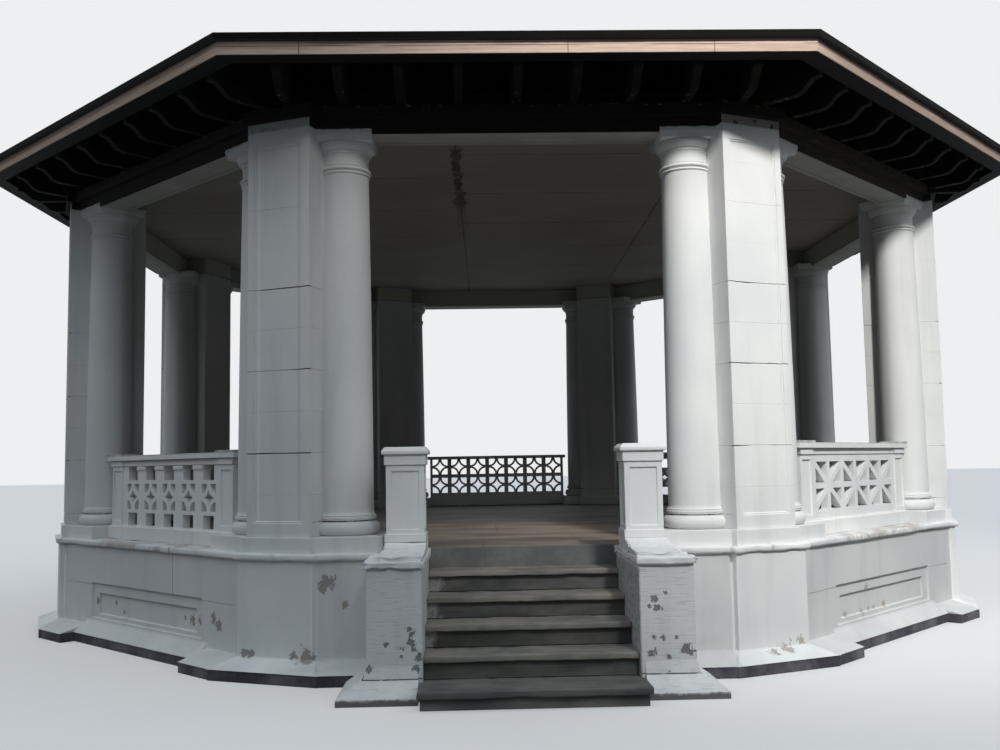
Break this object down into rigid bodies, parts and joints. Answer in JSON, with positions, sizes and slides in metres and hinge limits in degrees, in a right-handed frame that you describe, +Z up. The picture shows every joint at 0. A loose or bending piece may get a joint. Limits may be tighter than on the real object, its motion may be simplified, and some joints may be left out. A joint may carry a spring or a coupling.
{
  "type": "park gazebo",
  "caption": "Octagonal park gazebo with masonry base, paired engaged columns on corner piers, patterned balustrades, front stairs and a timber roof.",
  "frame": {"origin": "ground level under the middle of the object's footprint box, a little in front of the octagon's centre", "axes": "+Z up, -Y toward the front stairs, +X to the right hand of the front"},
  "size_m": [10.8, 11.22, 6.5734],
  "materials": {
    "painted_masonry": "matte",
    "dark_stone": "matte",
    "step_stone": "matte",
    "floor_stone": "matte",
    "dark_timber": "matte",
    "painted_board": "matte",
    "ceiling_board": "matte",
    "fascia_board": "matte",
    "shingles": "matte"
  },
  "bodies": {
    "root": {"balustrade_back": "painted_masonry", "balustrade_back_left": "painted_masonry", "balustrade_back_right": "painted_masonry", "balustrade_front_left": "painted_masonry", "balustrade_front_right": "painted_masonry", "balustrade_left": "painted_masonry", "balustrade_right": "painted_masonry", "base_wall_back": "painted_masonry", "base_wall_back_left": "painted_masonry", "base_wall_back_right": "painted_masonry", "base_wall_front": "painted_masonry", "base_wall_front_left": "painted_masonry", "base_wall_front_right": "painted_masonry", "base_wall_left": "painted_masonry", "base_wall_right": "painted_masonry", "beam_back": "dark_timber", "beam_back_left": "dark_timber", "beam_back_right": "dark_timber", "beam_front": "dark_timber", "beam_front_left": "dark_timber", "beam_front_right": "dark_timber", "beam_left": "dark_timber", "beam_right": "dark_timber", "ceiling": "ceiling_board", "cheek_wall_left": "painted_masonry", "cheek_wall_right": "painted_masonry", "fascia": "fascia_board", "floor_slab": "floor_stone", "footing": "dark_stone", "newel_left": "painted_masonry", "newel_right": "painted_masonry", "pier_back_left": "painted_masonry", "pier_back_right": "painted_masonry", "pier_front_left": "painted_masonry", "pier_front_right": "painted_masonry", "pier_left_back": "painted_masonry", "pier_left_front": "painted_masonry", "pier_right_back": "painted_masonry", "pier_right_front": "painted_masonry", "rafters_back": "dark_timber", "rafters_front": "dark_timber", "roof": "shingles", "soffit_boards": "painted_board", "stair_block": "step_stone", "stair_treads": "step_stone"}
  },
  "joints": []
}
